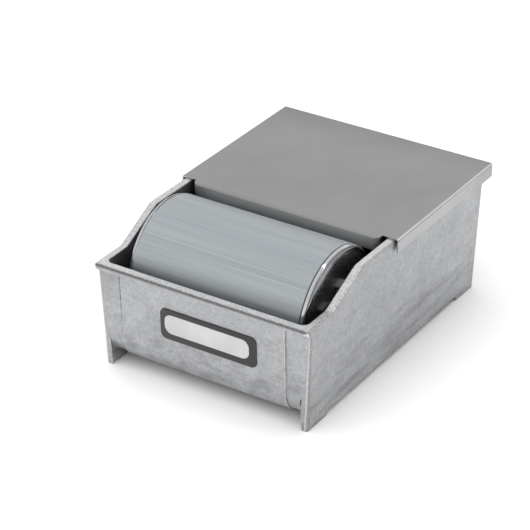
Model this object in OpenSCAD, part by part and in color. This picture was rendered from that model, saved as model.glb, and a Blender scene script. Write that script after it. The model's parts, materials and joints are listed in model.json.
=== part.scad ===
// Countertop butter spreader: a cast body on four feet, a roller that turns in a well of melted
// butter, a sheet lid over the reservoir behind it, and a warming compartment underneath.
// Origin: centre of the footprint, on the surface it stands on. +Y is the back, +X its right side.

/* [Body] */
// Width over the two side plates, at the feet
floor_w = 132.6; // [126:0.2:133]
// Height of the side plates and back wall, which carry the lid
wall_top = 79.4; // [78:0.2:84]
// Height of the low front rim
rim_z = 65.6; // [62:0.2:66]
// Front face, at the rim
front_y = -96.7; // [-97.5:0.1:-96.5]
// Back face, at the top
rear_y = 93; // [90:0.5:93]
// Where the side plates start to rise behind the rim
step_low_y = -74.5; // [-78:0.5:-68]
// Where the side plates reach their full height
step_high_y = -45.5; // [-48:0.5:-38]
// Thickness of a side plate at its top
wall_t = 4.8; // [4.5:0.1:5.2]
// Length of a foot
foot_l = 19; // [12:1:30]
// Height of the gap between the feet
foot_h = 3.4; // [2:0.1:3.8]

/* [Roller] */
// Outer diameter of the drum
drum_d = 76.4; // [74:0.2:76.8]
// Length of the drum over its end caps
drum_l = 114.4; // [110:0.1:114.6]
// Height of the roller's axis
axle_z = 48.6; // [48:0.1:50]
// Place of the roller's axis from front to back
axle_y = -47.9; // [-48.2:0.1:-47.6]
// Diameter of the axle
axle_d = 8; // [6:0.5:9]
// Lean of the slots that the roller lifts out of, towards the front
slot_lean = 17; // [16:0.5:18]
// Height that the roller is shown lifted by
roller_lift = 0; // [0:1:60]

/* [Lid] */
// Width of the lid over its side skirts
lid_w = 143; // [142:0.5:146]
// Front edge of the lid over the side plates
lid_front_y = -10; // [-12:0.5:-8]
// Back edge of the lid
lid_rear_y = 100; // [98:0.5:102]
// Thickness of the lid sheet
sheet_t = 1; // [0.8:0.1:1.2]
// Height of the lid's skirts
skirt_h = 8.5; // [6:0.5:10]
// Height that the lid is shown lifted by
lid_lift = 0; // [0:1:120]

/* [Name plate] */
// Width of the plate
plate_w = 62.2; // [40:0.2:80]
// Height of the plate
plate_h = 19.2; // [14:0.2:24]

/* [Hidden] */
$fn = 64;

cast_colour = [0.72, 0.73, 0.74];
steel_colour = [0.62, 0.63, 0.64];
chrome_colour = [0.85, 0.86, 0.88];
drum_colour = [0.70, 0.74, 0.76];
nylon_colour = [0.93, 0.92, 0.88];
dark_colour = [0.22, 0.22, 0.23];
brass_colour = [0.80, 0.66, 0.32];

side_draft = 0.039;              // each side plate leans out by this much per mm of height
front_draft = 0.034;             // the front face leans back towards the feet
rear_draft = 0.02;               // the back face leans in towards the feet
inner_draft = 0.0266;            // the well and reservoir open towards the top
plate_foot_t = 4;                // a side plate below the well
front_wall_t = 2.8;
rear_wall_in_y = rear_y - 5.2;
half_top = floor_w / 2 + side_draft * wall_top;
inner_half_top = half_top - wall_t;
under_half = floor_w / 2 - plate_foot_t;

tub_under_z = 5.2;               // underside of the well
tub_floor_z = 8;                 // inside of the well
tub_round = 16;                  // outer round under the front face
tub_round_in = 12.5;             // inner round between front wall and floor
well_back_y = -14;               // where the well's floor turns up to the reservoir
shelf_y = 2;                     // front edge of the reservoir floor
shelf_z = 27;                    // reservoir floor there
shelf_rise = 3.5;                // rise of that floor towards the back
roof_z = 23.5;                   // top of the warming compartment
roof_y = 3.6;                    // its front edge
reservoir_round = 4;

well_corner_r = 4.5;             // round in plan of the well and reservoir

lip_out = 3.3;                   // the rim stands this far in front of the face
lip_h = 4.6;
lip_bevel = [1.5, 1.1];          // bevel between its flat top and its face
lip_face_h = 1.8;
panel_half = 53.5;               // the proud middle panel of the front
panel_proud = 0.9;
panel_top_z = rim_z - 3.5;

lug_w = 26;                      // fork that holds an axle bush
lug_reach = 13.5;                // from the axis to the tip of its prongs
lug_x = drum_l / 2 + 1;          // inner face of the fork
lug_root_x = 65.2;               // where it ends inside the side plate
bush_r = 6;
bush_clear = 0.05;
flange_r = 9;

boss_r = 4.5;
screw_r = 2;
hole_r = 2.05;
head_r = 3.8;
head_h = 2.4;
small_screw_r = 1.5;
small_hole_r = 1.55;
small_head_r = 2.8;
small_head_h = 1.8;

cover_t = 1.2;
cover_z = tub_under_z - cover_t;
cover_half = under_half - 1.2;
cover_front_y = -13.8;
cover_rear_y = rear_wall_in_y - 0.5;
cover_screw_x = 56;
cover_screw_y = [14, 78];

heater = [90, 36, 5];            // strip heater against the compartment's roof
heater_y = 46;
tab = [5, 5, 1];                 // its two connection tabs
tab_y = [34, 58];
clamp_bar = [116, 14, 3];
clamp_x = 53;

thermostat_y = 14;
thermostat_r = 8;
thermostat_h = 10;
strap = [33, 7, 1];
strap_screw_x = 13;
spade = [5, 1, 4];
spade_x = 4.5;

block = [40, 12, 14];            // terminal block
block_y = 76;
block_pitch = 12;
earth_at = [-53, 66];
gland_at = [-40, 14];            // X and Z of the cord gland
gland_hole_r = 6.55;
cord_hole_r = 3.65;
lead_r = 1.1;
lead_z = 12.5;

function front_at(z) = front_y + front_draft * (rim_z - z);
function rear_at(z) = rear_y - rear_draft * (wall_top - z);
function arc(c, r, a0, a1, n = 12) =
    [for (i = [0 : n]) let (a = a0 + (a1 - a0) * i / n) [c[0] + r * cos(a), c[1] + r * sin(a)]];

// An outline drawn in Y and Z, extruded along X about the middle
module across(width) {
    rotate([90, 0, 90]) linear_extrude(width, center = true) children();
}

// An outline drawn in X and Z, extruded from y0 to y1
module along(y0, y1) {
    translate([0, y1, 0]) rotate([90, 0, 0]) linear_extrude(y1 - y0) children();
}

// A rectangle with round corners
module rounded(w, h, r) {
    square([w - 2 * r, h], center = true);
    square([w, h - 2 * r], center = true);
    for (x = [-1, 1], y = [-1, 1]) translate([x * (w / 2 - r), y * (h / 2 - r)]) circle(r = r);
}

// A solid turned about the X axis: the outline is drawn as radius and place along X
module turned(side = 1) {
    translate([0, axle_y, axle_z]) rotate([0, 90 * side, 0]) rotate_extrude($fn = 128) children();
}

// Children drawn once on the right and once on the left
module both_sides() {
    children();
    mirror([1, 0, 0]) children();
}

module screw(at, z_head, length, r, r_head, h_head) {
    translate([at[0], at[1], z_head]) {
        cylinder(r = r_head, h = h_head);
        translate([0, 0, h_head]) cylinder(r = r, h = length);
    }
}

// Direction of a route at its point i, halfway between the runs that meet there
function unit(v) = v / norm(v);
function heading(route, i) =
    i == 0 ? unit(route[1] - route[0]) :
    i == len(route) - 1 ? unit(route[i] - route[i - 1]) :
    unit(unit(route[i] - route[i - 1]) + unit(route[i + 1] - route[i]));

// A wire along a route, flat at its two ends
module wire(route) {
    sides = 8;
    last = len(route) - 1;
    askew = [1, 0.4, -1];            // no run of a lead lies along this
    rings = [for (i = [0 : last])
        let (t = heading(route, i), s = unit(cross(t, askew)), u = cross(t, s))
            for (k = [0 : sides - 1])
                route[i] + lead_r * (cos(360 * k / sides) * s + sin(360 * k / sides) * u)];
    walls = [for (i = [0 : last - 1], k = [0 : sides - 1], half = [0, 1])
        let (a = i * sides + k, b = i * sides + (k + 1) % sides)
            half == 0 ? [a, a + sides, b + sides] : [a, b + sides, b]];
    polyhedron(rings, concat(
        [[for (k = [0 : sides - 1]) k]], walls,
        [[for (k = [sides - 1 : -1 : 0]) last * sides + k]]));
}

// ---- body ----

slope = atan((wall_top - rim_z) / (step_high_y - step_low_y));
low_round = 8;
high_round = 6;
low_reach = low_round * tan(slope / 2);
high_reach = high_round * tan(slope / 2);

module side_outline() {
    polygon(concat(
        [[front_at(0), 0], [front_y, rim_z]],
        arc([step_low_y - low_reach, rim_z + low_round], low_round, -90, slope - 90, 5),
        arc([step_high_y + high_reach, wall_top - high_round], high_round, 90 + slope, 90, 5),
        [[rear_y, wall_top], [rear_at(0), 0], [rear_at(0) - foot_l, 0],
         [rear_at(0) - foot_l - 2, foot_h], [front_at(0) + foot_l + 2, foot_h],
         [front_at(0) + foot_l, 0]]));
}

module drafted_block() {
    along(front_y - 10, rear_y + 10)
        polygon([[-floor_w / 2, 0], [floor_w / 2, 0], [half_top, wall_top], [-half_top, wall_top]]);
}

// The well for the roller and, behind it and higher, the reservoir
module well_and_reservoir() {
    inner_front = front_at(tub_floor_z + tub_round_in) + front_wall_t;
    inner_half = inner_half_top - inner_draft * (wall_top - tub_floor_z);
    over = 2;
    intersection() {
        across(floor_w + 20)
            polygon(concat(
                [[front_y + front_wall_t, wall_top + over], [front_y + front_wall_t, rim_z]],
                arc([inner_front + tub_round_in, tub_floor_z + tub_round_in], tub_round_in, 180, 270),
                [[well_back_y, tub_floor_z], [shelf_y, shelf_z]],
                arc([rear_wall_in_y - reservoir_round, shelf_z + shelf_rise + reservoir_round],
                    reservoir_round, 270, 360, 6),
                [[rear_wall_in_y, wall_top + over]]));
        along(front_y - 10, rear_y + 10)
            polygon([[-inner_half, tub_floor_z - 0.01], [inner_half, tub_floor_z - 0.01],
                     [inner_half_top, wall_top], [inner_half_top, wall_top + over],
                     [-inner_half_top, wall_top + over], [-inner_half_top, wall_top]]);
        translate([0, (front_y + front_wall_t + rear_wall_in_y) / 2, 0])
            linear_extrude(wall_top + over)
                rounded(2 * inner_half_top, rear_wall_in_y - front_y - front_wall_t, well_corner_r);
    }
}

// The open space under the well and the warming compartment behind it
module underside() {
    round_y = front_at(tub_under_z + tub_round) + tub_round;
    across(2 * under_half)
        polygon(concat(
            [[front_y - 10, -1], [front_y - 10, tub_under_z + tub_round]],
            arc([round_y, tub_under_z + tub_round], tub_round, 180, 270),
            [[roof_y - 15.4, tub_under_z], [roof_y, roof_z],
             [rear_wall_in_y, roof_z], [rear_wall_in_y, -1]]));
    translate([-under_half, rear_wall_in_y - 5, -1]) cube([2 * under_half, 20, foot_h + 1]);
}

// The middle of the front stands proud of the strips beside it and turns under with the well
module front_panel() {
    round_z = tub_under_z + tub_round;
    round_y = front_at(round_z) + tub_round;
    inner_r = tub_round - 1.5;
    across(2 * panel_half)
        polygon(concat(
            [[front_at(panel_top_z) - panel_proud, panel_top_z]],
            arc([round_y, round_z], tub_round + panel_proud, 180, 270),
            [[-30, tub_under_z - panel_proud], [-30, tub_under_z + 1.5]],
            arc([round_y, round_z], inner_r, 270, 180),
            [[front_at(panel_top_z) + 1.5, panel_top_z]]));
}

module lip() {
    nose_y = front_y - lip_out;
    nose_z = rim_z - lip_bevel[1];
    intersection() {
        across(floor_w + 20)
            polygon([[front_y + 1.5, rim_z], [front_y + 1.5, rim_z - lip_h],
                     [front_y + 0.1, rim_z - lip_h], [nose_y, nose_z - lip_face_h],
                     [nose_y, nose_z], [nose_y + lip_bevel[0], rim_z]]);
        drafted_block();
    }
}

// Fork on the inside of the right side plate, open at the top for the axle bush
module lug() {
    lug_t = lug_root_x - lug_x;
    foot_z = tub_floor_z - 1.5;
    translate([lug_x + lug_t / 2, 0, 0]) difference() {
        intersection() {
            across(lug_t)
                translate([axle_y, axle_z]) rotate(slot_lean) translate([-lug_w / 2, -60])
                    square([lug_w, 60 + lug_reach]);
            translate([-20, -100, foot_z]) cube([40, 100, 100]);
        }
        across(lug_t + 2)
            translate([axle_y, axle_z]) rotate(slot_lean) union() {
                circle(r = bush_r + bush_clear);
                translate([-bush_r - bush_clear, 0]) square([2 * (bush_r + bush_clear), 60]);
            }
    }
}

module boss(at, z0, r) {
    translate([at[0], at[1], z0]) cylinder(r = r, h = roof_z + 1 - z0);
}

cover_bosses = [for (x = [-1, 1], y = cover_screw_y) [x * cover_screw_x, y]];
clamp_z = roof_z - heater[2] - clamp_bar[2];
strap_z = roof_z - thermostat_h - strap[2];
earth_z = 14;

module body_casting() {
    color(cast_colour) difference() {
        union() {
            difference() {
                intersection() {
                    across(floor_w + 20) side_outline();
                    drafted_block();
                }
                well_and_reservoir();
                underside();
            }
            front_panel();
            lip();
            both_sides() lug();
            for (p = cover_bosses) boss(p, tub_under_z, boss_r);
            for (x = [-clamp_x, clamp_x]) boss([x, heater_y], roof_z - heater[2], 5);
            for (x = [-strap_screw_x, strap_screw_x]) boss([x, thermostat_y], strap_z + strap[2], 3.5);
            boss(earth_at, earth_z, boss_r);
        }
        for (p = cover_bosses) translate([p[0], p[1], tub_under_z - 1]) cylinder(r = hole_r, h = 14);
        for (x = [-clamp_x, clamp_x]) translate([x, heater_y, 17]) cylinder(r = hole_r, h = 6.5);
        for (x = [-strap_screw_x, strap_screw_x])
            translate([x, thermostat_y, strap_z]) cylinder(r = small_hole_r, h = 9);
        translate([earth_at[0], earth_at[1], earth_z - 1]) cylinder(r = hole_r, h = 9);
        translate([gland_at[0], rear_y - 10, gland_at[1]]) rotate([-90, 0, 0])
            cylinder(r = gland_hole_r, h = 20);
    }
}

// ---- name plate ----

plate_x = 4.5;
plate_z = 40.5;
plate_t = 0.5;
plate_r = 3.6;
inlay_t = 0.3;
inlay_r = 4.6;
inlay_margin = [3, 4.5, 3, 4.2]; // dark border at its left, right, top and bottom

// Lies on the drafted front panel, with +Z of the children pointing out of it
module on_panel(stand) {
    translate([plate_x, front_at(plate_z) - panel_proud, plate_z])
        rotate([90 + atan(front_draft), 0, 0]) translate([0, 0, stand]) children();
}

module name_plate() {
    color(dark_colour) on_panel(0) linear_extrude(plate_t) rounded(plate_w, plate_h, plate_r);
}

module name_plate_inlay() {
    m = inlay_margin;
    color(steel_colour) on_panel(plate_t)
        translate([(m[0] - m[1]) / 2, (m[3] - m[2]) / 2]) linear_extrude(inlay_t)
            rounded(plate_w - m[0] - m[1], plate_h - m[2] - m[3], inlay_r);
}

// ---- lid ----

tongue_out = 4.4;                // the lid reaches this far forward between the side plates
tongue_half = inner_half_top - 3.2;
return_l = 9;                    // the ends of the front flange turn back by this much
return_r = 3.5;
bend_r = 1.8;
skirt_bend_r = 1.2;

lid_top = wall_top + sheet_t;
skirt_low = lid_top - skirt_h;
tongue_tip = lid_front_y - tongue_out;

// Block with a round front edge and round corners: the tongue is one such block less a smaller one
module tongue_block(inset, low, back) {
    half = tongue_half - inset;
    tip = tongue_tip + inset;
    top = lid_top - inset;
    r = bend_r - inset;
    depth = 60;
    intersection() {
        across(2 * half)
            polygon(concat([[back, low], [back, top]],
                arc([tip + r, top - r], r, 90, 180, 6), [[tip, low]]));
        translate([0, tip + depth / 2, low]) linear_extrude(top - low)
            rounded(2 * half, depth, return_r - inset);
    }
}

module lid_cover() {
    half = lid_w / 2;
    color(steel_colour) translate([0, 0, lid_lift]) {
        // top with its two side skirts
        along(lid_front_y, lid_rear_y)
            polygon(concat(
                arc([half - skirt_bend_r, lid_top - skirt_bend_r], skirt_bend_r, 0, 90, 5),
                arc([skirt_bend_r - half, lid_top - skirt_bend_r], skirt_bend_r, 90, 180, 5),
                [[-half, skirt_low], [sheet_t - half, skirt_low], [sheet_t - half, lid_top - sheet_t],
                 [half - sheet_t, lid_top - sheet_t], [half - sheet_t, skirt_low], [half, skirt_low]]));
        // back skirt
        translate([-half, lid_rear_y - sheet_t, skirt_low])
            cube([lid_w, sheet_t, skirt_h - skirt_bend_r]);
        // tongue between the side plates, with a front flange whose ends turn back
        difference() {
            tongue_block(0, skirt_low, tongue_tip + return_l);
            tongue_block(sheet_t, skirt_low - 1, tongue_tip + return_l + 1);
        }
    }
}

// ---- roller ----

shell_half = drum_l / 2 - 2.8;
shell_t = 2.5;
cap_t = 1.5;
hub_r = 9;
hub_out = 0.1;
axle_half = 61.4;
fit = 0.02;

module lifted() {
    translate([0, -roller_lift * sin(slot_lean), roller_lift * cos(slot_lean)]) children();
}

module drum_shell() {
    color(drum_colour) lifted() turned()
        translate([drum_d / 2 - shell_t, -shell_half]) square([shell_t, 2 * shell_half]);
}

module drum_cap(side) {
    r = drum_d / 2;
    spigot_r = r - shell_t - 0.05;
    face = drum_l / 2;
    color(chrome_colour) lifted() turned(side)
        polygon(concat(
            [[spigot_r - cap_t, shell_half - 6], [spigot_r, shell_half - 6], [spigot_r, shell_half]],
            arc([r - 2.8, shell_half], 2.8, 0, 90, 10),
            [[hub_r + fit, face], [hub_r + fit, face - cap_t],
             [spigot_r - cap_t - 0.5, face - cap_t], [spigot_r - cap_t, face - cap_t - 0.5]]));
}
module drum_cap_left() { drum_cap(-1); }
module drum_cap_right() { drum_cap(1); }

module drum_hub(side) {
    face = drum_l / 2;
    bore = axle_d / 2 + fit;
    color(steel_colour) lifted() turned(side)
        polygon([[bore, face - 11], [hub_r, face - 11], [hub_r, face - cap_t - 3], [13, face - cap_t - 3],
                 [13, face - cap_t], [hub_r, face - cap_t], [hub_r, face + hub_out], [bore, face + hub_out]]);
}
module drum_hub_left() { drum_hub(-1); }
module drum_hub_right() { drum_hub(1); }

module drum_axle() {
    r = axle_d / 2;
    end_bevel = 0.6;
    color(steel_colour) lifted() turned()
        polygon([[0, -axle_half], [r - end_bevel, -axle_half], [r, end_bevel - axle_half],
                 [r, axle_half - end_bevel], [r - end_bevel, axle_half], [0, axle_half]]);
}

module axle_bush(side) {
    bore = axle_d / 2 + bush_clear;
    face = drum_l / 2 + 0.3;
    color(nylon_colour) lifted() turned(side)
        polygon([[bore, face], [flange_r, face], [flange_r, lug_x - 0.1], [bush_r, lug_x - 0.1],
                 [bush_r, axle_half - 0.4], [bore, axle_half - 0.4]]);
}
module axle_bush_left() { axle_bush(-1); }
module axle_bush_right() { axle_bush(1); }

// ---- warming compartment ----

module heater_strip() {
    color(steel_colour) {
        translate([-heater[0] / 2, heater_y - heater[1] / 2, roof_z - heater[2]]) cube(heater);
        for (y = tab_y)
            translate([heater[0] / 2, y - tab[1] / 2, roof_z - 2.9]) cube(tab);
    }
}

module heater_clamp_bar() {
    color(steel_colour) difference() {
        translate([-clamp_bar[0] / 2, heater_y - clamp_bar[1] / 2, clamp_z]) cube(clamp_bar);
        for (x = [-clamp_x, clamp_x]) translate([x, heater_y, clamp_z - 1]) cylinder(r = hole_r, h = 5);
    }
}

module heater_clamp_screws() {
    color(steel_colour)
        for (x = [-clamp_x, clamp_x]) screw([x, heater_y], clamp_z - head_h, 7.5, screw_r, head_r, head_h);
}

module thermostat() {
    color(dark_colour) difference() {
        union() {
            translate([0, thermostat_y, roof_z - thermostat_h]) cylinder(r = thermostat_r, h = thermostat_h);
            translate([-strap[0] / 2, thermostat_y - strap[1] / 2, strap_z]) cube(strap);
            for (x = [-spade_x, spade_x])
                translate([x - spade[0] / 2, thermostat_y - spade[1] / 2, strap_z - 3]) cube(spade);
        }
        for (x = [-strap_screw_x, strap_screw_x])
            translate([x, thermostat_y, strap_z - 1]) cylinder(r = small_hole_r, h = 3);
    }
}

module thermostat_screws() {
    color(steel_colour)
        for (x = [-strap_screw_x, strap_screw_x])
            screw([x, thermostat_y], strap_z - small_head_h, 7, small_screw_r, small_head_r, small_head_h);
}

block_z = roof_z - block[2];
block_front = block_y - block[1] / 2;
screw_x = [for (i = [-1 : 1]) i * block_pitch];

module terminal_block() {
    color(nylon_colour) difference() {
        translate([-block[0] / 2, block_front, block_z]) cube(block);
        for (x = screw_x) translate([x, block_y, block_z - 1]) cylinder(r = hole_r, h = 7);
    }
}

module terminal_screws() {
    color(brass_colour) for (x = screw_x) screw([x, block_y], block_z - 1, 5, screw_r, 2.8, 1);
}

ring_t = 0.8;
ring_tongue = 7;

module earth_terminal() {
    color(brass_colour) difference() {
        translate([earth_at[0], earth_at[1], earth_z - ring_t]) union() {
            cylinder(r = 4, h = ring_t);
            translate([0, -1.5, 0]) cube([ring_tongue, 3, ring_t]);
        }
        translate([earth_at[0], earth_at[1], earth_z - 2]) cylinder(r = hole_r, h = 4);
    }
}

module earth_screw() {
    color(brass_colour) screw(earth_at, earth_z - ring_t - head_h, 7.5, screw_r, 3.4, head_h);
}

gland_face = rear_at(gland_at[1]);
gland_flange_t = 2.4;
gland_length = 13;
gland_stand = 0.25;              // the back face leans, so the flange stands off by this
nut_h = 3;

module gland_axis() {
    translate([gland_at[0], gland_face, gland_at[1]]) rotate([-90, 0, 0]) children();
}

// Cord inlet in the back wall
module cord_gland() {
    color(dark_colour) gland_axis() rotate_extrude()
        polygon([[cord_hole_r, -gland_length], [6.5, -gland_length], [6.5, gland_stand], [9.5, gland_stand],
                 [9.5, 1.4], [8.5, gland_flange_t], [cord_hole_r + 0.8, gland_flange_t],
                 [cord_hole_r, gland_flange_t - 0.8]]);
}

module gland_nut() {
    color(dark_colour) gland_axis() translate([0, 0, rear_wall_in_y - gland_face - nut_h - 0.05])
        difference() {
            cylinder(r = 9.2, h = nut_h, $fn = 6);
            translate([0, 0, -1]) cylinder(r = gland_hole_r, h = nut_h + 2);
        }
}

spade_face_y = thermostat_y + spade[1] / 2;
spade_z = strap_z - 1;
tab_x = heater[0] / 2 + tab[0] / 2;
tab_under_z = roof_z - 2.9;

module supply_lead() {
    color("black") wire([[-block_pitch, block_front, lead_z], [-block_pitch, 30, lead_z],
                         [-spade_x, 20, spade_z], [-spade_x, spade_face_y, spade_z]]);
}

module heater_lead() {
    color("firebrick") wire([[spade_x, spade_face_y, spade_z], [spade_x, 20, spade_z], [36, 23, lead_z],
                             [tab_x, tab_y[0], 14.5], [tab_x, tab_y[0], tab_under_z]]);
}

module return_lead() {
    color("royalblue") wire([[tab_x, tab_y[1], tab_under_z], [tab_x, tab_y[1], lead_z],
                             [40, 66, lead_z], [18, 66, lead_z], [block_pitch, 68, lead_z],
                             [block_pitch, block_front, lead_z]]);
}

module earth_lead() {
    ring_end = earth_at[0] + ring_tongue;
    color("seagreen") wire([[-block[0] / 2, 73, 13.6], [-26, 73, 13.6], [-38, earth_at[1], 13.6],
                            [ring_end, earth_at[1], 13.6]]);
}

module bottom_cover() {
    slot_l = 40;
    color(steel_colour) difference() {
        translate([-cover_half, cover_front_y, cover_z])
            cube([2 * cover_half, cover_rear_y - cover_front_y, cover_t]);
        for (p = cover_bosses) translate([p[0], p[1], cover_z - 1]) cylinder(r = hole_r, h = 4);
        for (i = [-2 : 2]) translate([-slot_l / 2, heater_y + i * 8 - 1.5, cover_z - 1])
            cube([slot_l, 3, 4]);
    }
}

module cover_screws() {
    color(steel_colour)
        for (p = cover_bosses) screw(p, cover_z - head_h, 12, screw_r, head_r, head_h);
}

body_casting();
name_plate();
name_plate_inlay();
lid_cover();
drum_shell();
drum_cap_left();
drum_cap_right();
drum_hub_left();
drum_hub_right();
drum_axle();
axle_bush_left();
axle_bush_right();
heater_strip();
heater_clamp_bar();
heater_clamp_screws();
thermostat();
thermostat_screws();
terminal_block();
terminal_screws();
earth_terminal();
earth_screw();
cord_gland();
gland_nut();
supply_lead();
heater_lead();
return_lead();
earth_lead();
bottom_cover();
cover_screws();
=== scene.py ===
"""Countertop roller butter spreader: the looks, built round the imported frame."""

import json
import math

import bmesh
import bpy
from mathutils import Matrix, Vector


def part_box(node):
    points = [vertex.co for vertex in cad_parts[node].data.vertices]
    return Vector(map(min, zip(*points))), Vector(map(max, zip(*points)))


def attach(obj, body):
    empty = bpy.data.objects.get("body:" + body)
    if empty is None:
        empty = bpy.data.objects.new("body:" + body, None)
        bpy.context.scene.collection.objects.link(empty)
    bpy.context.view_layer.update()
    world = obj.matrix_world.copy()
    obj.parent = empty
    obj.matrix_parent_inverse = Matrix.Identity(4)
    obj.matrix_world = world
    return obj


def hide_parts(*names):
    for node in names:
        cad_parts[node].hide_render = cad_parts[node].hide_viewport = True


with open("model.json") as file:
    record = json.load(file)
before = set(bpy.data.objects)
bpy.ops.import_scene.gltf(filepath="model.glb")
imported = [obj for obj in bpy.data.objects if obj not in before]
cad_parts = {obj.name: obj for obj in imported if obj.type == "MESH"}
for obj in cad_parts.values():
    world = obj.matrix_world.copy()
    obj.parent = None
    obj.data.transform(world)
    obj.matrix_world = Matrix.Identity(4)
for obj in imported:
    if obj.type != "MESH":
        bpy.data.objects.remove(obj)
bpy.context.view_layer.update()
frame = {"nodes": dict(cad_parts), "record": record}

MM = 0.001

# ---- camera and studio ----

FIELD = 530                  # side of the square picture
FOCAL = 2250                 # focal length, on the same scale
AZIMUTH = math.radians(32.73)
ELEVATION = math.radians(29.42)
DISTANCE = 1.322
AIM = Vector((-0.0319, 0.01646, 0.02057))
SKY = ((0.0, 0.3), (0.1, 0.35), (0.28, 0.9), (0.5, 0.72), (0.75, 0.7), (1.0, 0.75))  # height, grey
FLOOR_SIDE = 20
FLOOR_GREY = 0.93


def place_camera():
    data = bpy.data.cameras.new("camera")
    camera = bpy.data.objects.new("camera", data)
    bpy.context.scene.collection.objects.link(camera)
    data.sensor_width = 36
    data.lens = data.sensor_width * FOCAL / FIELD
    data.clip_start, data.clip_end = 0.05, 20
    back = Vector((math.sin(AZIMUTH) * math.cos(ELEVATION),
                   -math.cos(AZIMUTH) * math.cos(ELEVATION),
                   math.sin(ELEVATION)))
    camera.location = AIM + back * DISTANCE
    camera.rotation_mode = "QUATERNION"
    camera.rotation_quaternion = (-back).to_track_quat("-Z", "Y")
    bpy.context.scene.camera = camera


def area_light(name, at, aim, size, power):
    data = bpy.data.lights.new(name, "AREA")
    data.shape = "RECTANGLE"
    data.size, data.size_y = size
    data.energy = power
    light = bpy.data.objects.new(name, data)
    bpy.context.scene.collection.objects.link(light)
    light.location = at
    light.rotation_mode = "QUATERNION"
    light.rotation_quaternion = (Vector(aim) - Vector(at)).to_track_quat("-Z", "Y")


def studio():
    """White floor, a sky that is brightest low down, one broad light and one narrow one for the edges."""
    bpy.context.scene.view_settings.view_transform = "Standard"
    world = bpy.data.worlds.new("studio")
    bpy.context.scene.world = world
    world.use_nodes = True
    tree = world.node_tree
    background = tree.nodes["Background"]
    way = tree.nodes.new("ShaderNodeTexCoord")
    split = tree.nodes.new("ShaderNodeSeparateXYZ")
    ramp = tree.nodes.new("ShaderNodeValToRGB")
    tree.links.new(way.outputs["Generated"], split.inputs["Vector"])
    tree.links.new(split.outputs["Z"], ramp.inputs["Fac"])
    tree.links.new(ramp.outputs["Color"], background.inputs["Color"])
    while len(ramp.color_ramp.elements) < len(SKY):
        ramp.color_ramp.elements.new(0.5)
    for element, (height, grey) in zip(ramp.color_ramp.elements, SKY):
        element.position = height
        element.color = (grey, grey, grey * 1.01, 1)
    bpy.ops.object.select_all(action="DESELECT")
    bpy.ops.mesh.primitive_plane_add(size=FLOOR_SIDE)
    floor = bpy.context.object
    floor.name = "floor"
    mat = bpy.data.materials.new("floor_white")
    mat.use_nodes = True
    shader = mat.node_tree.nodes["Principled BSDF"]
    shader.inputs["Base Color"].default_value = (FLOOR_GREY, FLOOR_GREY, FLOOR_GREY, 1)
    shader.inputs["Roughness"].default_value = 0.9
    floor.data.materials.append(mat)
    area_light("overhead", (-0.3, -0.3, 1.25), (0, 0, 0), (2.4, 2.4), 24)
    bpy.data.objects["overhead"].visible_glossy = False
    area_light("strip", (0.5, 0.15, 0.85), (0, 0.1, 0), (0.1, 1.7), 0.9)


# ---- finishes ----

class Finish:
    """A node material for metal or plastic, built up from a plain shader."""

    def __init__(self, name, colour, roughness, metallic=1.0):
        self.mat = bpy.data.materials.new(name)
        self.mat.use_nodes = True
        self.tree = self.mat.node_tree
        self.shader = self.tree.nodes["Principled BSDF"]
        self.shader.inputs["Base Color"].default_value = (*colour, 1)
        self.shader.inputs["Roughness"].default_value = roughness
        self.shader.inputs["Metallic"].default_value = metallic
        self.coord = self.tree.nodes.new("ShaderNodeTexCoord").outputs["Object"]

    def link(self, out, into):
        self.tree.links.new(out, into)

    def noise(self, scale, detail, stretch=(1, 1, 1), turn=(0, 0, 0)):
        """Grey noise; scale is in cycles per metre and stretch multiplies it along each axis."""
        place = self.tree.nodes.new("ShaderNodeMapping")
        place.inputs["Scale"].default_value = stretch
        place.inputs["Rotation"].default_value = turn
        grain = self.tree.nodes.new("ShaderNodeTexNoise")
        grain.inputs["Scale"].default_value = scale
        grain.inputs["Detail"].default_value = detail
        self.link(self.coord, place.inputs["Vector"])
        self.link(place.outputs["Vector"], grain.inputs["Vector"])
        return grain.outputs["Fac"]

    def span(self, value, low, high, start=0.3, end=0.7):
        """Map a grey value from start..end onto low..high."""
        node = self.tree.nodes.new("ShaderNodeMapRange")
        node.inputs["From Min"].default_value = start
        node.inputs["From Max"].default_value = end
        node.inputs["To Min"].default_value = low
        node.inputs["To Max"].default_value = high
        self.link(value, node.inputs["Value"])
        return node.outputs["Result"]

    def blend(self, factor, first, second):
        """Go from one colour to another as the factor goes from 0 to 1."""
        node = self.tree.nodes.new("ShaderNodeMix")
        node.data_type = "RGBA"
        for socket, value in ((node.inputs[6], first), (node.inputs[7], second)):
            if isinstance(value, tuple):
                socket.default_value = (*value, 1)
            else:
                self.link(value, socket)
        self.link(factor, node.inputs["Factor"])
        return node.outputs[2]

    def math(self, operation, first, second):
        node = self.tree.nodes.new("ShaderNodeMath")
        node.operation = operation
        for socket, value in zip(node.inputs, (first, second)):
            if isinstance(value, float):
                socket.default_value = value
            else:
                self.link(value, socket)
        return node.outputs["Value"]

    def shade(self, factor, colour):
        """Darken or lighten a colour by a grey factor."""
        node = self.tree.nodes.new("ShaderNodeVectorMath")
        node.operation = "SCALE"
        self.link(colour, node.inputs[0])
        self.link(factor, node.inputs["Scale"])
        return node.outputs["Vector"]

    def colour_from(self, out):
        self.link(out, self.shader.inputs["Base Color"])

    def roughness_from(self, out):
        self.link(out, self.shader.inputs["Roughness"])

    def bump(self, height, depth, before=None):
        """Relief of a given depth in metres."""
        node = self.tree.nodes.new("ShaderNodeBump")
        node.inputs["Strength"].default_value = 1.0
        node.inputs["Distance"].default_value = depth
        self.link(height, node.inputs["Height"])
        if before is not None:
            self.link(before, node.inputs["Normal"])
        self.link(node.outputs["Normal"], self.shader.inputs["Normal"])
        return node.outputs["Normal"]


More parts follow.
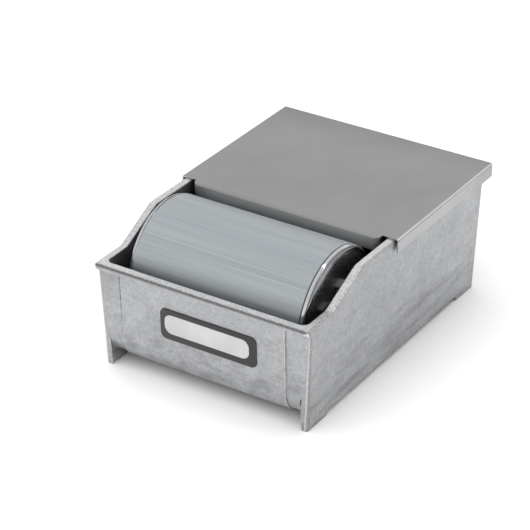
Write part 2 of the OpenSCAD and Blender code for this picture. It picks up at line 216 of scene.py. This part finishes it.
def cast_finish():
    """As cast: fine sparkle, a mottled skin, and darker streaks low on the sides, strongest near the
    bottom.
    """
    f = Finish("cast_aluminium", (0.46, 0.465, 0.47), 0.5)
    speckle = f.noise(1150, 3)
    mottle = f.noise(420, 4)
    cloud = f.noise(60, 3)
    streaks = f.noise(150, 3, stretch=(0.6, 0.12, 1.0), turn=(0.25, 0, 0))
    tone = f.blend(f.span(mottle, 0, 1), (0.385, 0.391, 0.40), (0.48, 0.486, 0.494))
    tone = f.shade(f.span(cloud, 0.9, 1.06), tone)
    height = f.tree.nodes.new("ShaderNodeSeparateXYZ")
    f.link(f.coord, height.inputs["Vector"])
    # the streaks darken the colour more the lower the face is
    foot = f.span(height.outputs["Z"], 0.9, 0.12, 0.002, 0.045)
    low_darkening = f.math("MULTIPLY", f.span(streaks, 0, 0.42, 0.45, 0.66), foot)
    tone = f.shade(f.math("SUBTRACT", 1.0, low_darkening), tone)
    f.colour_from(f.shade(f.span(speckle, 0.85, 1.15), tone))
    f.roughness_from(f.span(speckle, 0.40, 0.55))
    f.bump(speckle, 0.00008, f.bump(f.noise(210, 3), 0.0002))
    return f.mat


def ground_and_painted_light_finish(name, low, high, rough=(0.26, 0.4)):
    """Faces and edges ground after casting: brighter, with fine scratches and dark pits. The same finish
    in other tones gives the painted highlight and painted shade lines on the casting's edges.
    """
    f = Finish(name, high, 0.35)
    speckle = f.noise(1000, 3)
    scratch = f.noise(260, 3, stretch=(1, 9, 1), turn=(0, 0, 0.5))
    tone = f.blend(f.span(scratch, 0, 1), low, high)
    f.colour_from(f.shade(f.span(speckle, 0.8, 1.2), tone))
    f.roughness_from(f.span(scratch, *rough))
    f.bump(speckle, 0.00006)
    return f.mat


def turned_finish():
    """The roller, brushed along its axis."""
    f = Finish("turned_aluminium", (0.45, 0.48, 0.50), 0.36)
    brush = f.noise(1.0, 4, stretch=(9, 1900, 1900))
    broad = f.noise(1.0, 3, stretch=(4, 150, 150))
    tone = f.blend(f.span(broad, 0, 1), (0.56, 0.60, 0.621), (0.605, 0.64, 0.657))
    f.colour_from(f.shade(f.span(brush, 0.84, 1.12), tone))
    f.roughness_from(f.span(brush, 0.42, 0.56))
    f.bump(brush, 0.00003)
    return f.mat


def around(colour, low, high):
    """A darker and a lighter tone of a colour."""
    return tuple(c * low for c in colour), tuple(min(1, c * high) for c in colour)


def sheet_finish(name, colour):
    """Stainless sheet with a fine satin grain along its width."""
    f = Finish(name, colour, 0.4)
    grain = f.noise(1.0, 3, stretch=(30, 2600, 2600))
    cloud = f.noise(30, 2)
    tone = f.blend(f.span(cloud, 0, 1), *around(colour, 0.96, 1.05))
    f.colour_from(f.shade(f.span(grain, 0.97, 1.03), tone))
    f.roughness_from(f.span(grain, 0.36, 0.44))
    f.bump(grain, 0.000006)
    return f.mat


def polished_finish(name, colour, roughness):
    """Polished metal with light scuffs."""
    f = Finish(name, colour, roughness)
    scuff = f.noise(1500, 3)
    f.roughness_from(f.span(scuff, roughness * 0.85, roughness * 1.2))
    f.bump(f.noise(60, 2), 0.000004)
    return f.mat


def speckled_finish(name, colour, roughness):
    """Polished metal with lighter specks over it."""
    f = Finish(name, colour, roughness)
    specks = f.noise(1700, 2)
    f.colour_from(f.blend(f.span(specks, 0, 1, 0.54, 0.72), colour, (0.65, 0.65, 0.65)))
    f.roughness_from(f.span(specks, roughness, 0.58, 0.5, 0.72))
    f.bump(f.noise(90, 2), 0.00002)
    return f.mat


def plated_finish(name, colour, roughness=0.35):
    """Plated or plain metal with a fine even grain."""
    f = Finish(name, colour, roughness)
    grain = f.noise(900, 3)
    f.colour_from(f.blend(f.span(grain, 0, 1), *around(colour, 0.9, 1.08)))
    f.roughness_from(f.span(grain, roughness * 0.85, roughness * 1.2))
    f.bump(grain, 0.00001)
    return f.mat


def moulded_finish(name, colour, roughness):
    """Plastic, rubber or paint with a fine texture."""
    f = Finish(name, colour, roughness, metallic=0.0)
    grain = f.noise(1800, 2)
    f.colour_from(f.blend(f.span(f.noise(60, 2), 0, 1), *around(colour, 0.92, 1.08)))
    f.roughness_from(f.span(grain, roughness * 0.85, roughness * 1.15))
    f.bump(grain, 0.00001)
    return f.mat


FINISHES = {
    "cast_aluminium": cast_finish(),
    "ground_aluminium": ground_and_painted_light_finish("ground_aluminium", (0.72, 0.722, 0.726), (0.93, 0.93, 0.932)),
    # painted highlight on the rounded front corners
    "corner_painted_highlight": ground_and_painted_light_finish("corner_painted_highlight", (0.5, 0.503, 0.508), (0.58, 0.58, 0.582), (0.35, 0.45)),
    # worn, brighter rounded edges of the wall tops; the same finish is the painted highlight line along
    # the panel seams
    "worn_edge_and_highlight": ground_and_painted_light_finish("worn_edge_and_highlight", (0.38, 0.382, 0.386), (0.74, 0.74, 0.74), (0.24, 0.36)),
    # painted shade on the sloping faces of the front lip
    "lip_bevel": ground_and_painted_light_finish("lip_bevel", (0.2, 0.202, 0.206), (0.31, 0.31, 0.312), (0.4, 0.5)),
    # painted shade lines beside the bright rounded edges and along the panel seams
    "painted_shade_line": ground_and_painted_light_finish("painted_shade_line", (0.27, 0.272, 0.276), (0.38, 0.38, 0.382), (0.4, 0.5)),
    "turned_aluminium": turned_finish(),
    "satin_steel": sheet_finish("satin_steel", (0.44, 0.443, 0.447)),
    # painted highlight on the lid's side folds and the tongue's ends
    "fold_painted_highlight": polished_finish("fold_painted_highlight", (0.82, 0.825, 0.83), 0.3),
    # painted shade under the lid's side folds
    "fold_shade": sheet_finish("fold_shade", (0.2, 0.2, 0.202)),
    # a lighter, warmer, rougher copy of the lid's steel on the flange's front faces; its tone is a
    # painted reflection
    "flange_painted_reflection": plated_finish("flange_painted_reflection", (0.5, 0.498, 0.495), 0.6),
    "polished_cap": polished_finish("polished_cap", (0.72, 0.73, 0.75), 0.08),
    # painted shade: a darker copy of the polished cap on its shoulder, standing in for the reflection of
    # the dark gap
    "cap_shoulder_painted_shade": polished_finish("cap_shoulder_painted_shade", (0.3, 0.3, 0.31), 0.12),
    # the caps' flat faces: a darker copy of the polished cap, a painted reflection of the shaded wall,
    # with lighter specks
    "cap_face_painted_shade": speckled_finish("cap_face_painted_shade", (0.4, 0.4, 0.41), 0.16),
    "plain_steel": plated_finish("plain_steel", (0.45, 0.45, 0.46)),
    "plate_border": moulded_finish("plate_border", (0.022, 0.0225, 0.024), 0.4),
    "plate_field": moulded_finish("plate_field", (0.58, 0.58, 0.585), 0.35),
    "nylon": moulded_finish("nylon", (0.80, 0.79, 0.74), 0.4),
    "black_plastic": moulded_finish("black_plastic", (0.03, 0.03, 0.032), 0.45),
    "brass": plated_finish("brass", (0.65, 0.48, 0.20), 0.3),
    "lead_black": moulded_finish("lead_black", (0.02, 0.02, 0.02), 0.4),
    "lead_red": moulded_finish("lead_red", (0.45, 0.04, 0.03), 0.4),
    "lead_blue": moulded_finish("lead_blue", (0.03, 0.10, 0.45), 0.4),
    "lead_green": moulded_finish("lead_green", (0.05, 0.32, 0.10), 0.4),
}


# ---- shaping ----

def only(piece):
    bpy.ops.object.select_all(action="DESELECT")
    piece.select_set(True)
    bpy.context.view_layer.objects.active = piece


def finish_normals(piece, angle=30):
    only(piece)
    bpy.ops.object.shade_smooth_by_angle(angle=math.radians(angle))


def blank_from(node, name, weld=0.002):
    """A workpiece the shape of a CAD node, its triangles joined up into whole faces; weld is in mm."""
    source = frame["nodes"][node]
    piece = bpy.data.objects.new(name, source.data.copy())
    bpy.context.scene.collection.objects.link(piece)
    piece.data.materials.clear()
    only(piece)
    bpy.ops.object.mode_set(mode="EDIT")
    bpy.ops.mesh.select_all(action="SELECT")
    bpy.ops.mesh.remove_doubles(threshold=weld * MM)
    bpy.ops.mesh.dissolve_limited(angle_limit=math.radians(0.6), use_dissolve_boundaries=False)
    bpy.ops.object.mode_set(mode="OBJECT")
    return piece


def round_edges(piece, width_of, segments=3, sharp=20, finish_index=-1):
    """Round each sharp edge by the width that width_of(middle, direction, normals, turn) gives it."""
    mesh = piece.data
    work = bmesh.new()
    work.from_mesh(mesh)
    layer = work.edges.layers.float.new("bevel_weight_edge")
    largest = 0
    widths = {}
    for edge in work.edges:
        if len(edge.link_faces) != 2:
            continue
        turn = edge.calc_face_angle_signed(0)
        if abs(turn) < math.radians(sharp):
            continue
        a, b = edge.verts
        width = width_of((a.co + b.co) / 2, (b.co - a.co).normalized(),
                         [face.normal for face in edge.link_faces], turn)
        if width > 0:
            widths[edge] = width
            largest = max(largest, width)
    for edge, width in widths.items():
        edge[layer] = width / largest
    work.to_mesh(mesh)
    work.free()
    only(piece)
    bevel = piece.modifiers.new("rounded", "BEVEL")
    bevel.limit_method = "WEIGHT"
    bevel.width = largest
    bevel.segments = segments
    bevel.use_clamp_overlap = False
    bevel.miter_outer = "MITER_ARC"
    bevel.material = finish_index
    bpy.ops.object.modifier_apply(modifier="rounded")


def turned(name, outline, node, steps):
    """A piece turned about the roller's axis; outline is (place along X, radius) in mm."""
    low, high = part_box(node)
    axis_y, axis_z = (low.y + high.y) / 2, (low.z + high.z) / 2
    bpy.ops.object.select_all(action="DESELECT")
    bpy.ops.mesh.primitive_plane_add(size=MM)
    piece = bpy.context.object
    piece.name = name
    bpy.ops.object.mode_set(mode="EDIT")
    bpy.ops.mesh.merge(type="CENTER")
    points = [Vector((x * MM, axis_y, axis_z + r * MM)) for x, r in outline]
    bpy.ops.transform.translate(value=points[0])
    for start, end in zip(points, points[1:]):
        bpy.ops.mesh.extrude_region_move(TRANSFORM_OT_translate={"value": end - start})
    bpy.ops.mesh.select_all(action="SELECT")
    bpy.ops.mesh.spin(steps=steps, angle=math.tau, center=(0, axis_y, axis_z), axis=(1, 0, 0))
    bpy.ops.mesh.select_all(action="SELECT")
    bpy.ops.mesh.remove_doubles(threshold=0.002 * MM)
    bpy.ops.mesh.normals_make_consistent(inside=False)
    bpy.ops.object.mode_set(mode="OBJECT")
    finish_normals(piece)
    return piece


def arc(x, r, radius, start, end, steps):
    """Points of an arc for a turned outline; angles in degrees from the X axis."""
    return [(x + radius * math.cos(math.radians(start + (end - start) * i / steps)),
             r + radius * math.sin(math.radians(start + (end - start) * i / steps)))
            for i in range(steps + 1)]


def paint(piece, finish, *more):
    piece.data.materials.clear()
    for name in (finish, *more):
        piece.data.materials.append(FINISHES[name])


def done(piece, body, slot, *nodes):
    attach(piece, body)
    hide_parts(*nodes)


# ---- body casting ----

SIDE_LEAN = 0.039            # the side plates lean out by this much per unit of height
SIDE_SKIN = 3.5 * MM         # an edge within this of the widest place is on the outside
PANEL_HALF = 53.5 * MM       # half the width of the proud front panel
SLIVER = 0.08                # mm; welds the slivers left where cut faces nearly meet
COMPARTMENT_TOP = 24.5 * MM
COMPARTMENT_HALF = 62.2 * MM
COMPARTMENT_FRONT = -20 * MM
COMPARTMENT_BACK = 86 * MM
WALL_TOPS = 60 * MM          # every wall top is above this
GROUND_TOPS = 64 * MM        # faces above this were ground flat
LIP_UNDERSIDE = 59 * MM
LIP_DEPTH = 5.5 * MM
FOOT_TOP = 4.2 * MM
FRONT_FACE = -75 * MM        # the front panel and its seams are in front of this
SEAM_SHADE = 1.1 * MM         # widths of the painted shade line and the painted highlight line of a panel seam
SEAM_HIGHLIGHT = 0.5 * MM
SHADE_CUTS = (7 * MM, 30 * MM)   # cuts behind the front that keep the shading of the wide faces even

CORNER_ROUND = 2.2 * MM      # front corners, from the lip to the foot
WALL_ROUND = 1.1 * MM        # outer edges of the wall tops
INNER_ROUND = 0.6 * MM       # inner edges of the wall tops
LIP_ROUND = 0.35 * MM
FOOT_ROUND = 0.4 * MM
INSIDE_ROUND = 0.8 * MM      # inside corners
PLAIN_ROUND = 0.45 * MM

CAST, GROUND, WORN_AND_HIGHLIGHT, LIP_SHADE, SHADE_STRIP, CORNER_HIGHLIGHT = range(6)
CASTING_FINISHES = ("cast_aluminium", "ground_aluminium", "worn_edge_and_highlight", "lip_bevel", "painted_shade_line",
                    "corner_painted_highlight")


def in_compartment(at):
    """Edges in here stay square, because the warmer and its wiring fit close to them."""
    return (at.z < COMPARTMENT_TOP and COMPARTMENT_FRONT < at.y < COMPARTMENT_BACK
            and abs(at.x) < COMPARTMENT_HALF)


def shape_casting():
    piece = blank_from("body_casting", "casting", weld=SLIVER)
    low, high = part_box("body_casting")
    half = high.x
    rim = low.z + GROUND_TOPS

    def width_of(at, along, normals, turn):
        outer = any(abs(n.x) > 0.9 for n in normals) and abs(at.x) > half - SIDE_SKIN
        top = any(n.z > 0.8 for n in normals) and at.z > WALL_TOPS
        if in_compartment(at):
            return 0
        if outer and any(n.y < -0.9 for n in normals) and abs(along.z) > 0.9:
            return CORNER_ROUND
        if outer and top and abs(along.y) > 0.8:
            return WALL_ROUND
        if at.y < low.y + LIP_DEPTH and at.z > LIP_UNDERSIDE:
            return 0 if turn < 0 else LIP_ROUND
        if outer and top:
            return WALL_ROUND
        if turn < 0:
            return INSIDE_ROUND
        if top:
            return INNER_ROUND
        return FOOT_ROUND if at.z < FOOT_TOP else PLAIN_ROUND

    paint(piece, *CASTING_FINISHES)
    for face in piece.data.polygons:
        face.material_index = CAST
        if face.normal.z > 0.85 and face.center.z > rim:
            face.material_index = GROUND
        # painted shade on the front lip's sloping faces
        elif face.center.y < low.y + 2 * MM and 0.5 < face.normal.z < 0.95:
            face.material_index = LIP_SHADE
    round_edges(piece, width_of, finish_index=WORN_AND_HIGHLIGHT)
    keep_inside(piece, half, low, high)
    for face in piece.data.polygons:
        face.material_index = casting_face_finish(face, low, rim)
    only(piece)
    bpy.ops.object.mode_set(mode="EDIT")
    for y in (*(low.y + cut for cut in SHADE_CUTS), 0):
        bpy.ops.mesh.select_all(action="SELECT")
        bpy.ops.mesh.bisect(plane_co=(0, y, 0), plane_no=(0, 1, 0))
    bpy.ops.object.mode_set(mode="OBJECT")
    finish_normals(piece, 25)
    weigh = piece.modifiers.new("even", "WEIGHTED_NORMAL")
    weigh.keep_sharp = True
    bpy.ops.object.modifier_apply(modifier="even")
    done(piece, "housing", "cast_aluminium", "body_casting")


def keep_inside(piece, half, low, high):
    """Bring back corners that the rounding pushed out of the leaning sides or the box."""
    for vertex in piece.data.vertices:
        reach = half - SIDE_LEAN * (high.z - vertex.co.z)
        vertex.co.x = max(-reach, min(reach, vertex.co.x))
        vertex.co.y = max(low.y, min(high.y, vertex.co.y))
        vertex.co.z = min(high.z, vertex.co.z)


def casting_face_finish(face, low, rim):
    """Which finish a face of the casting has, once its edges are rounded."""
    index, at, across = face.material_index, face.center, abs(face.normal.x)
    # painted shade line on the side-facing part of the rounded wall-top edges
    if index == WORN_AND_HIGHLIGHT and at.z > rim and 0.8 < across < 0.985:
        index = SHADE_STRIP
    if index == WORN_AND_HIGHLIGHT and (at.z < rim - 1 * MM or at.y < low.y + 1 * MM):
        # on the rounded front corners: a painted highlight strip, and a painted shade line where the
        # round turns to the side
        on_corner = at.y < low.y + 12 * MM and at.z > 4 * MM
        if on_corner and 0.2 < across < 0.985 and abs(face.normal.z) < 0.3:
            index = SHADE_STRIP if across > 0.8 else CORNER_HIGHLIGHT
        else:
            index = CAST
    past_panel = abs(at.x) - PANEL_HALF
    # where the proud front panel steps out: a painted shade line beside it and a painted highlight line
    # on its edge
    if at.y < FRONT_FACE and at.z < rim - 2 * MM:
        if 0 <= past_panel < SEAM_SHADE:
            index = SHADE_STRIP
        elif -SEAM_HIGHLIGHT < past_panel < 0:
            index = WORN_AND_HIGHLIGHT
    return index


# ---- roller ----

# outlines are in mm; end is where the tube stops, face the flat of a cap, both from the middle
DRUM_WALL = 2.5
BORE = 4.02                  # radius of the hubs' bore, on a shaft of radius 4
HUB = 9.0                    # radius of a hub, and of the hole for it in a cap
SPIGOT = 6.0                 # radius of a bush where it sits in its fork
POLISHED, FACE_SHADE, SHOULDER_SHADE = range(3)


def drum_outline(end, radius):
    """A tube with its corners broken and a fine raised line near each end."""
    inner = radius - DRUM_WALL
    right = [(end - 1.1, radius - 0.06), (end - 0.7, radius), (end - 0.5, radius - 0.05),
             (end - 0.4, radius - 0.5), (end - 0.4, inner)]
    left = [(-x, r) for x, r in reversed(right)]
    return left + right + left[:1]


def cap_outline(end, face, radius):
    """A pressed cap: a skirt inside the tube, a rounded shoulder, and a flat face with a hub hole."""
    inner = radius - DRUM_WALL
    shoulder = face - end
    skirt = (end - 6, inner - 1.5)
    return [skirt, (end - 6, inner - 0.05), (end - 0.2, inner - 0.05), (end - 0.2, radius - 1.1),
            (end + 0.35, radius - 1.1),
            *arc(end, radius - shoulder, shoulder - 0.1, 83, 0, 12),
            (face, radius - shoulder - 0.3), (face, HUB + 0.4), (face - 0.3, HUB + 0.1),
            (face - 1.5, HUB + 0.1), (face - 1.5, inner - 2), (face - 2, inner - 1.55), skirt]


def hub_outline(face):
    return [(face - 11, BORE), (face - 11, HUB - 0.3), (face - 10.7, HUB), (face - 4.5, HUB),
            (face - 4.5, 13), (face - 1.5, 13), (face - 1.5, HUB), (face - 0.2, HUB),
            (face + 0.1, HUB - 0.3), (face + 0.1, 4.3), (face - 0.2, BORE), (face - 11, BORE)]


def bush_outline(inner, outer):
    """A flanged bush, from its flange at the drum to its end in the fork."""
    flange = 9.0
    return [(inner, 4.25), (inner, flange - 0.2), (inner + 0.15, flange), (inner + 0.45, flange),
            (inner + 0.6, flange - 0.2), (inner + 0.6, SPIGOT), (outer - 0.4, SPIGOT),
            (outer, SPIGOT - 0.4), (outer, 4.4), (outer - 0.3, 4.05), (inner + 0.2, 4.05), (inner, 4.25)]


def axle_outline(half):
    """A shaft with rounded ends."""
    right = [(half - 0.7, 4), (half - 0.25, 3.7), (half, 3.3), (half, 0)]
    return [(-x, r) for x, r in reversed(right)] + right


def shape_roller():
    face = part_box("drum_cap_right")[1].x / MM
    low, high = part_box("drum_shell")
    radius = (high.z - low.z) / 2 / MM
    end = high.x / MM
    tube = turned("drum_tube", drum_outline(end, radius), "drum_shell", 256)
    paint(tube, "turned_aluminium")
    done(tube, "roller", "turned_aluminium", "drum_shell")
    for side, name in ((1, "right"), (-1, "left")):
        def outward(outline):
            return [(side * x, r) for x, r in outline]

        cap = turned("cap_" + name, outward(cap_outline(end, face, radius)), "drum_cap_" + name, 256)
        paint(cap, "polished_cap", "cap_face_painted_shade", "cap_shoulder_painted_shade")
        for poly in cap.data.polygons:
            flat = abs(poly.normal.x)
            # painted shade: the flat faces get the darker copy of the cap's metal
            if flat > 0.995 and abs(poly.center.x) > (face - 0.2) * MM:
                poly.material_index = FACE_SHADE
            # painted shade on the cap's shoulder
            elif 0.66 < flat <= 0.995 and abs(poly.center.x) > end * MM:
                poly.material_index = SHOULDER_SHADE
            else:
                poly.material_index = POLISHED
        done(cap, "roller", "polished_cap", "drum_cap_" + name)
        hub = turned("hub_" + name, outward(hub_outline(face)), "drum_hub_" + name, 96)
        paint(hub, "plain_steel")
        done(hub, "roller", "plain_steel", "drum_hub_" + name)
        inner, outer = sorted(abs(corner.x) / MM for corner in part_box("axle_bush_" + name))
        bush = turned("bush_" + name, outward(bush_outline(inner, outer)), "axle_bush_" + name, 96)
        paint(bush, "nylon")
        done(bush, "roller_bushes", "nylon", "axle_bush_" + name)
    axle = turned("axle", axle_outline(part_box("drum_axle")[1].x / MM), "drum_axle", 96)
    paint(axle, "plain_steel")
    done(axle, "roller", "plain_steel", "drum_axle")


# ---- lid ----

LID_SKIN = 1.5 * MM          # the folds lie within this of the lid's sides, back and top
FOLD_LINE = 1.3 * MM         # depth of the painted shade line under the side folds
FOLD_ROUND = 0.45 * MM
SHEET_ROUND = 0.2 * MM
TONGUE_INSET = 4 * MM        # the tongue is narrower than the lid by more than this
SHEET, FOLD_HIGHLIGHT, FOLD_PAINTED_SHADE, FLANGE_REFLECTION = range(4)


def shape_lid():
    piece = blank_from("lid_cover", "lid_sheet")
    low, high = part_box("lid_cover")

    def width_of(at, along, normals, turn):
        rear_corner = abs(along.z) > 0.9 and at.y > high.y - LID_SKIN
        on_side = abs(at.x) > high.x - LID_SKIN and at.z > high.z - LID_SKIN
        if rear_corner or (on_side and abs(along.y) > 0.9 and turn > 0):
            return FOLD_ROUND
        return SHEET_ROUND

    def finish_of(face):
        side = abs(face.center.x) > high.x - LID_SKIN
        # painted highlight along the side folds
        if side and 0.2 < face.normal.z < 0.97:
            return FOLD_HIGHLIGHT
        # painted shade: a dark strip on the skirt just under the fold
        if side and abs(face.normal.x) > 0.9 and face.center.z > high.z - FOLD_LINE:
            return FOLD_PAINTED_SHADE
        # painted reflection tone on the flange's front faces
        if face.normal.y < -0.5 and abs(face.center.x) < high.x - TONGUE_INSET:
            return FLANGE_REFLECTION
        # painted highlight on the tongue's bent-back ends
        tongue_end = abs(face.normal.x) > 0.7 and face.center.y < low.y + TONGUE_INSET
        return FOLD_HIGHLIGHT if tongue_end and not side else SHEET

    round_edges(piece, width_of, segments=2, sharp=35)
    paint(piece, "satin_steel", "fold_painted_highlight", "fold_shade", "flange_painted_reflection")
    only(piece)
    bpy.ops.object.mode_set(mode="EDIT")
    bpy.ops.mesh.select_all(action="SELECT")
    bpy.ops.mesh.bisect(plane_co=(0, 0, high.z - FOLD_LINE), plane_no=(0, 0, 1))
    bpy.ops.object.mode_set(mode="OBJECT")
    for face in piece.data.polygons:
        face.material_index = finish_of(face)
    finish_normals(piece, 35)
    done(piece, "lid", "satin_steel", "lid_cover")


# ---- name plate ----

PLATE_ROUND = 0.14 * MM


def shape_plate():
    for node, name, finish in (("name_plate", "badge_border", "plate_border"),
                               ("name_plate_inlay", "badge_field", "plate_field")):
        piece = blank_from(node, name)
        round_edges(piece, lambda at, along, normals, turn: PLATE_ROUND, segments=2, sharp=60)
        paint(piece, finish)
        finish_normals(piece, 35)
        done(piece, "housing", finish, node)


# ---- warmer, wiring and cover ----

# CAD node: name of the piece, and how far its edges are rounded in mm
HIDDEN_PARTS = {
    "heater_strip": ("warmer_plate", 0.5),
    "heater_clamp_bar": ("warmer_clamp", 0.4),
    "heater_clamp_screws": ("warmer_clamp_screws", 0.35),
    "thermostat": ("thermostat_can", 0.3),
    "thermostat_screws": ("thermostat_fixings", 0.3),
    "terminal_block": ("terminal_strip", 0.6),
    "terminal_screws": ("terminal_fixings", 0.2),
    "earth_terminal": ("earth_ring", 0.1),
    "earth_screw": ("earth_fixing", 0.35),
    "cord_gland": ("cord_inlet", 0.35),
    "gland_nut": ("cord_inlet_nut", 0.3),
    "supply_lead": ("wire_supply", 0),
    "heater_lead": ("wire_warmer", 0),
    "return_lead": ("wire_return", 0),
    "earth_lead": ("wire_earth", 0),
    "bottom_cover": ("base_cover", 0.3),
    "cover_screws": ("base_cover_screws", 0.6),
}


def shape_hidden_parts():
    """The warmer, its wiring, the cord inlet and the base cover."""
    slots = {row["node"]: row["material_slot"] for row in frame["record"]["subparts"]}
    for node, (name, width) in HIDDEN_PARTS.items():
        piece = blank_from(node, name)
        if width:
            round_edges(piece, lambda at, along, normals, turn: width * MM if turn > 0 else 0,
                        segments=2, sharp=50)
        paint(piece, slots[node])
        finish_normals(piece, 40 if width else 60)
        done(piece, "housing", slots[node], node)


place_camera()
shape_casting()
shape_roller()
shape_lid()
shape_plate()
shape_hidden_parts()
studio()
